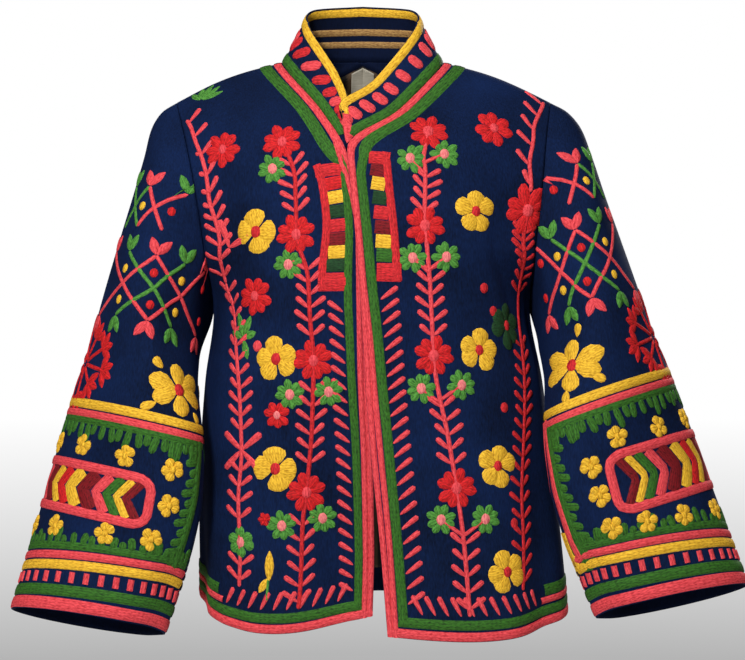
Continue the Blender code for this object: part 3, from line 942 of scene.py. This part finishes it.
def cuff(work, plain, top, bar, flowers, seam_lines=()):
    """Two lines, grass, small flowers, a chevron bar, and bands at the edge."""
    half = 228
    bands(work, half, ((top, 11, "yellow"),), 1.7)
    bands(work, half, ((lambda s: top(s) + 10.5, 9, "coral"),), 1.6)
    fringe(work, lambda s: top(s) + 15, half, 1, 17)
    for side in (-1, 1):
        # Flowers next to the inner fold show on the front half alone.
        in_front = work.panel.at(side * 0.05, 0.4)[1] < work.panel.at(-side * 0.05, 0.4)[1]
        for s, t in flowers:
            if in_front or s > 40:
                work.flower(side * s, t, 25, 5, "yellow", "yellow", 60 + s, 0.3, 1.0, 2.4)
        for thread, width, path in seam_lines:
            work.line([(side * s, t) for s, t in path], width, thread, "square", 1.7)
        low, end = top(half) + 14, 498
        for k, t in enumerate(np.arange(low + 10, end - 4, 10.5)):
            root = half - 13 - 15 * ((t - low) / (end - low)) ** 2
            tip = root - 19 - 5 * math.sin(2.1 * k)
            work.line([(side * root, t), (side * tip, t + 5)], 9.5, "green", "round", 1.2)
        rows = steps(low, end)
        root = half - 11 - 15 * ((rows - low) / (end - low)) ** 2
        work.line(np.stack([side * root, rows], axis=1), 11, "green", "square", 1.3)
        chevrons(work, side, *bar)
    work.panel = plain
    edge, half = plain.rows[-1] * 1000, plain.length[-1] * 500
    fringe(work, lambda s: edge - 68 + 0 * s, half, -1)
    table = ((60, 9, "coral"), (49, 11, "yellow"), (21.5, 13, "green"), (7.2, 14, "coral"))
    bands(work, half, [(edge - back, width, thread) for back, width, thread in table], 1.6)
    for s in np.arange(6 - half, half - 4, 14.0):
        work.line([(s, edge - 41.5), (s + 0.6, edge - 30)], 7, "coral", "square", 1.5)


fronts = {word: Embroidery(f"wool_on_front_{word}", panels[f"front_{word}"]) for word in SIDES}
sleeves = {
    word: Embroidery(f"wool_on_sleeve_{word}", panels[f"level_sleeve_{word}"]) for word in SIDES
}
on_back = Embroidery("wool_on_back", panels["back"])
on_collar = Embroidery("wool_on_collar", panels["collar"])

# Bands along the front edges, the necklines and the hem. The binding is two cords, which
# run into one at the top of the over front.
JOINED_T = NECK_T + 12
BINDING = {
    "left": (
        ((0, 3.4), (NECK_T - 16, 3.4), (JOINED_T, 3.0)),
        ((0, 9.4), (NECK_T - 16, 9.8), (JOINED_T, 6.8)),
    ),
    "right": (
        ((0, 3.4), (NECK_T, 3.0), (JOINED_T, 3.0)),
        ((0, 9.2), (150, 10.4), (290, 8.4), (380, 4.4), (NECK_T - 16, 4.0), (JOINED_T, 6.8)),
    ),
}
for word, work in fronts.items():
    hem = work.panel.length[0] * 1000
    for path in BINDING[word]:
        work.line(up(path, 0, JOINED_T), 6.6, "coral", "square", 1.8)
    work.line(up(5, NECK_T + 4, TOP_T), 9.4, "coral", "square", 1.6)
    work.line(across(5.2, 0, hem), 10.5, "coral", "square", 1.7)
    work.line(across(17, 13, hem), 11.5, "green", "square", 1.4)
    work.line(across(28.5, hem - 84, hem), 7.5, "coral", "square", 1.5)
    work.line(across(39.5, hem - 78, hem), 13, "green", "square", 1.4)
    for s in np.arange(30, hem - 92, 14.0):
        work.line([(s + 10, 26), (s, 46)], 6.4, "coral", "drop")

# The over front, on the viewer's right.
work = fronts["right"]
work.line(up(19.2, NECK_T - 8, TOP_T), 14.5, "green", "square", 1.4)
BESIDE = (
    (14, 18.6), (190, 19), (290, 16.6), (380, 13), (NECK_T - 30, 12.6), (NECK_T - 2, 18.8),
)
work.line(up(BESIDE, 14, NECK_T - 2), 11, "green", "square", 1.5)
INNER = (
    (20, 91), (103, 89), (155, 86), (209, 82), (294, 73), (382, 74), (436, 75),
    (477, 81), (504, 84), (523, 80), (549, 60),
)
vine(work, INNER, 26, 546, "coral", "coral", gaps=((112, 172), (248, 310), (388, 452), (500, 551)))
# Columns: t of a red flower, then s and t of the two pale green ones below it.
RED_FLOWERS = (
    (549, (68, 512), (100, 526)),
    (436, (58, 398), (94, 401)),
    (294, (58, 260), (101, 264)),
    (155, (67, 124), (114, 124)),
)
for t, *pair in RED_FLOWERS:
    for x, y in pair:
        work.line([(stem_at(INNER, y - 16), y - 16), (x, y)], 4.4, "coral")
        work.flower(x, y, 33, 8, "leaf", "rose", 90 + x, 0.36)
    work.flower(stem_at(INNER, t), t, 44, 8, "red", "coral", 75, 0.3)
for s, t, turn in ((135, 463, 170), (124, 300, 80), (134, 176, 150), (135, 70, 110)):
    work.flower(s, t, 48, 5, "yellow", "scarlet", turn, 0.24)
OUTER = (
    (24, 152), (70, 158), (138, 162), (196, 174), (260, 186), (337, 197), (368, 200),
    (428, 192), (483, 202), (514, 206), (549, 176), (582, 146), (628, 118),
)
vine(work, OUTER, 48, 480, "scarlet", "scarlet", gaps=((306, 350), (456, 510)))
vine(work, OUTER, 512, 622, "coral", "coral", length=23, pitch=24)
work.flower(202, 484, 54, 8, "red", "coral", 120, 0.25)
work.flower(166, 325, 52, 6, "pine", "scarlet", 80, 0.22)
work.flower(114, 566, 44, 7, "red", "coral", 40, 0.26)
for s, t in ((135, 366), (146, 340), (196, 306), (150, 240), (148, 118)):
    work.dot(s, t, 11, "scarlet")
slanting(work, ((33, 25), (262, 23), (346, 21)), 36, 352, 14.0, 19.0)
BARS = ("maroon", "yellow", "pine", "scarlet", "maroon", "yellow", "green")
ladder(work, (20, 24), (40.5, 42), 392, 498, BARS)

# The under front, on the viewer's left.
work = fronts["left"]
BESIDE = (
    (NECK_T - 24, 1), (NECK_T - 12, 10), (NECK_T + 2, 17), (NECK_T + 20, 19.2), (TOP_T, 19.2),
)
work.line(up(BESIDE, NECK_T - 20, TOP_T), 14.5, "green", "square", 1.4)
BESIDE = ((14, 17), (190, 18), (300, 20), (359, 21.5), (430, 19), (470, 14), (490, 9))
work.line(up(BESIDE, 14, NECK_T - 14), 9.5, "green", "square", 1.5)
INNER = (
    (20, 84), (37, 82), (118, 77), (149, 72), (240, 62), (289, 59), (337, 62),
    (376, 63), (427, 75), (469, 68), (500, 61), (537, 60),
)
bare = ((126, 168), (262, 308), (396, 446), (512, 539))
vine(work, INNER, 26, 537, "scarlet", "coral", gaps=bare)
for t in (537, 427, 289, 149):
    work.flower(stem_at(INNER, t), t, 44, 8, "red", "coral", 75, 0.28)
for s, t in ((82, 508), (84, 392), (85, 254), (99, 116), (56, 122), (44, 256)):
    work.flower(s, t, 33, 8, "leaf", "rose", 80, 0.36)
for s, t, petals, turn in ((119, 436, 4, 90), (99, 291, 5, 80), (104, 173, 4, 85)):
    work.flower(s, t, 49, petals, "yellow", "scarlet", turn, 0.27)
for s, t in ((124, 547), (124, 357)):
    work.flower(s, t, 43, 8, "red", "coral", 60, 0.26)
work.flower(100, 232, 30, 7, "red", "rose", 60, 0.3)
work.flower(117, 122, 15, 6, "red", "red", 60, 0.3)
work.line([(117, 36), (115, 60)], 3, "leaf")
work.spoke(114, 64, 92, -6, 26, 11, "yellow", "leaf", 1.6)
work.spoke(122, 50, 120, -6, 12, 9, "yellow", "leaf", 1.4)
OUTER = (
    (20, 150), (45, 149), (97, 146), (136, 147), (192, 142), (250, 143), (332, 157),
    (372, 176), (428, 169), (490, 164), (545, 150), (566, 148), (595, 138),
)
vine(work, OUTER, 48, 372, "coral", "coral", gaps=((84, 112), (174, 206)))
vine(work, OUTER, 372, 594, "coral", "coral", length=21, pitch=25)
work.flower(145, 97, 34, 6, "leaf", "rose", 80, 0.34)
for angle in (38, 142, 222, 318):
    work.spoke(142, 192, angle, 0, 30, 9, "coral", "drop")
for angle, far in ((70, 30), (110, 26), (20, 22), (250, 24), (160, 18)):
    work.spoke(140, 312, angle, 2, far, 10, "leaf", "leaf")
work.dot(121, 304, 12, "coral")
for angle in (80, 160):
    work.spoke(158, 420, angle, 0, 30, 10, "coral", "drop")
for angle in (150, 120, 90, 60, 175):
    work.spoke(105, 612, angle, 2, 26, 8, "leaf", "leaf")
slanting(work, ((35, 23), (190, 24), (281, 25), (340, 27)), 36, 344, 11.5, 16.0)
BARS = ("red", "yellow", "pine", "scarlet", "maroon", "yellow", "pine")
ladder(work, (24.5, 10), (48.5, 36), 382, 483, BARS)


def beside_neck(half, side, distances):
    """A grid on half of the back, in rows at distances from the neckline, all in metres."""
    heights = np.linspace(BACK[BACK_NECK][0], SHOULDER_H - 0.002, 400)
    along = run_length(half.at(0.0, heights))
    heights = np.interp(np.linspace(0, along[-1], 25), along, heights)
    edge, within = half.at(0.0, heights), side * 0.006
    outwards = half.at(within, heights, 1.0) - half.at(within, heights)
    aside = np.cross(outwards, np.gradient(edge, axis=0))
    aside *= side * np.sign(aside[-1, 0])
    aside /= np.linalg.norm(aside, axis=1)[:, None]
    room = np.abs(edge[:, 0] - edge[0, 0]) / 0.035
    aside[:, 0] = np.clip(aside[:, 0], -room, room)
    fine, top = 0.0005, SHOULDER_H - 0.001
    s, t = np.meshgrid(side * np.arange(0, 0.06, fine), np.arange(0.52, top, fine))
    places = half.at(s, t).reshape(-1, 3)
    targets = edge + aside * distances[:, None, None]
    nearest = [[np.argmin(((places - point) ** 2).sum(axis=1)) for point in row] for row in targets]
    return places[np.array(nearest)]


# The back, which the photograph hides, repeats the fronts' bands and vines.
distances = np.linspace(0, 0.028, 8)
halves = [
    beside_neck(Panel(half, shares, fine_back, -1), side, distances)
    for side, half, shares in ((-1, grids[0], -fine_across[::-1]), (1, grids[1], fine_across))
]
rims = np.concatenate([halves[0][:, :0:-1], halves[1]], axis=1)
neck_panel = Panel(rims, np.linspace(-1, 1, rims.shape[1]), distances, 1)
on_neck = Embroidery("wool_on_back_neck", neck_panel)
for row in ((5.5, 9.4, "coral"), (19.2, 14.5, "green")):
    bands(on_neck, on_neck.half_width(row[0]) - 0.5, (row,))
hem = on_back.panel.length[0] * 1000
HEM_BANDS = (5.2, 10.5, "coral"), (17, 11.5, "green"), (28.5, 7.5, "coral"), (39.5, 13, "green")
bands(on_back, hem, HEM_BANDS)
for side in (-1, 1):
    stem = ((20, side * 60), (200, side * 66), (400, side * 62), (520, side * 58))
    bare = ((112, 172), (250, 310), (392, 454), (478, 516))
    vine(on_back, stem, 52, 516, "coral", "coral", gaps=bare)
    for t in (516, 437, 294, 156):
        s = stem_at(stem, t)
        on_back.flower(s, t, 44, 8, "red", "coral", 75, 0.28)
        if t < 500:
            flower_pair(on_back, s, t - 36)
    stem = ((20, side * 158), (200, side * 160), (340, side * 164), (560, side * 150))
    vine(on_back, stem, 52, 560, "scarlet", "scarlet", gaps=((300, 346),))
    on_back.flower(side * 163, 322, 46, 6, "pine", "scarlet", 80, 0.24)
    for t in (470, 218, 90):
        on_back.flower(side * 112, t, 46, 5, "yellow", "scarlet", 80, 0.26)
stem = ((20, 0), (540, 0))
vine(on_back, stem, 52, 500, "scarlet", "coral", gaps=((220, 262), (360, 402)))
for t, thread in ((506, "yellow"), (380, "red"), (240, "yellow")):
    on_back.flower(0, t, 44, 6, thread, "coral", 90)

# Sleeves: a lattice in two bands, a spray on the outer fold, a large flower, and the cuff.
LATTICE = ("coral", "leaf", "coral", "leaf", "coral")
left, right = sleeves["left"], sleeves["right"]
# Columns: the sleeve's work, s and t of the large flower, and s and t of the buds round it.
LARGE_FLOWERS = (
    (left, 167, 312, (130, 289), (131, 335), (203, 336)),
    (right, 155, 288, (137, 254), (124, 309), (171, 318)),
)
for side in (-1, 1):
    lattice(left, side, 34, 36, ("leaf", "coral", "leaf"), 104, 150, 1)
    lattice(left, side, 28, 40, LATTICE, 178, 248, 2)
    lattice(right, side, 34, 33, ("leaf", "coral", "leaf"), 80, 122, 1)
    lattice(right, side, 38, 34, LATTICE[::-1], 151, 226, 2)
    for work, s, t, *buds in LARGE_FLOWERS:
        for x, y in buds:
            ends = [(side * (s + (x - s) * k), t + (y - t) * k) for k in (0.8, 1.2)]
            work.line(ends, 13, "yellow", "drop", 1.7)
        work.flower(side * s, t, 60, 6, "yellow", "scarlet", 82, 0.24, 1.25)
spray(left, 28, 303)
spray(right, 30, 281)
# Small flowers on the cuffs, and the right cuff's edge lines. Columns: s, t.
ON_LEFT_CUFF = (
    (24, 391), (74, 390), (123, 392), (175, 395), (177, 432),
    (16, 484), (64, 479), (119, 475), (164, 470),
)
ON_RIGHT_CUFF = (
    (34, 374), (83, 376), (129, 374), (163, 396), (161, 427),
    (38, 476), (86, 472), (123, 467), (157, 462),
)
EDGE_LINES = (
    ("coral", 10, ((226, 336), (224, 400), (219, 462), (212, 482))),
    ("yellow", 9, ((231, 452), (228, 476), (221, 494))),
)
cuff(left, panels["sleeve_left"], lambda s: 346 + 0 * s, (160, 435, 23), ON_LEFT_CUFF)
cuff(
    right, panels["sleeve_right"], lambda s: 320 + 0.04 * np.abs(s), (150, 421, 28),
    ON_RIGHT_CUFF, EDGE_LINES,
)

# The collar, outside: a green band at the seam, dashes, and a yellow band at the top.
reach = panels["collar"].length[4] * 1000
bands(on_collar, reach, ((6.6, 12.5, "green"), (46.3, 10.5, "yellow")))
for k, s in enumerate(np.arange(14 - reach, reach - 12, 15.5)):
    thread = "scarlet" if k % 3 and s < 100 else "coral"
    on_collar.line([(s, 16), (s - 5, 38)], 13.5, thread, "round", 1.8)
rows = steps(2, 41)
over_end = on_collar.half_width(rows) - 5
on_collar.line(np.stack([over_end, rows], axis=1), 8, "coral", "square", 1.8)

# Inside the collar: a yellow band at the top and two plain stripes.
inner_collar = Panel(panels["collar"].points, stations, rises * COLLAR_HEIGHT, -1, 0.0, CLOTH)
in_collar = Embroidery("wool_inside_collar", inner_collar)
bands(in_collar, reach - 8, ((46.5, 9.5, "yellow"), (28, 8, "tan"), (16.5, 7.5, "tan")), 0.8)

for work in (*fronts.values(), *sleeves.values(), on_back, on_neck, on_collar, in_collar):
    work.finish()

# The studio: a round sheet of pale paper on the floor, a background white all round above the
# horizon and below it a painted shade that darkens to grey downwards, a soft key light from the
# front left, a weaker fill, and lights down into the neck and on the back.
AMBIENT = 0.08
FLOOR = -0.95
turn = np.linspace(0, 2 * math.pi, 65)
circle = np.stack([np.cos(turn), np.sin(turn), 0 * turn], axis=1)
rings = np.array([radius * circle + (0, 0, FLOOR) for radius in np.linspace(0.001, 1.95, 9)])
grid_mesh("studio_paper", [rings], True, [paper])


def soft_light(name, place, aim, size, power):
    data = bpy.data.lights.new(name, "AREA")
    data.shape = "DISK"
    data.size = size
    data.energy = power
    lamp = linked(name, data)
    lamp.location = place
    lamp.rotation_euler = (Vector(aim) - Vector(place)).to_track_quat("-Z", "Y").to_euler()


soft_light("key", (-0.8, -2.7, 0.9), (0.0, 0.0, -0.25), 0.5, 88)
soft_light("fill", (2.2, -1.8, 0.2), (0.0, 0.0, -0.25), 1.2, 4)
soft_light("neck_light", (0.0, -0.7, 1.5), (0.0, 0.08, 0.0), 0.4, 12)
soft_light("back_light", (1.3, 2.8, 1.0), (0.0, 0.0, -0.25), 1.0, 60)

world = bpy.data.worlds.new("studio")
world.use_nodes = True
air = world.node_tree
way = add(air, "TexCoord", {}, "Generated")
rise = add(air, "SeparateXYZ", {0: way}, 2)
# Below the horizon the background darkens downwards: painted shade of light falling off on the
# backdrop. Camera rays see it at full strength, other rays only at AMBIENT.
painted_backdrop_shade = {"Value": rise, "From Min": -0.147, "From Max": -0.04, "To Min": 0.462, "To Max": 1.0}
seen = add(air, "LightPath", {}, "Is Camera Ray")
strength = add(air, "Math", {0: seen, 1: 1 - AMBIENT, 2: AMBIENT}, operation="MULTIPLY_ADD")
air.links.new(add(air, "MapRange", painted_backdrop_shade), air.nodes["Background"].inputs[0])
air.links.new(strength, air.nodes["Background"].inputs[1])
bpy.context.scene.world = world
bpy.context.scene.view_settings.view_transform = "Standard"

camera_data = bpy.data.cameras.new("camera")
camera = linked("camera", camera_data)
camera.location = (0.005, -2.4, -0.27)
camera.rotation_euler = (math.pi / 2, 0, 0)
camera_data.lens = 105.4
camera_data.sensor_width = 36
bpy.context.scene.camera = camera
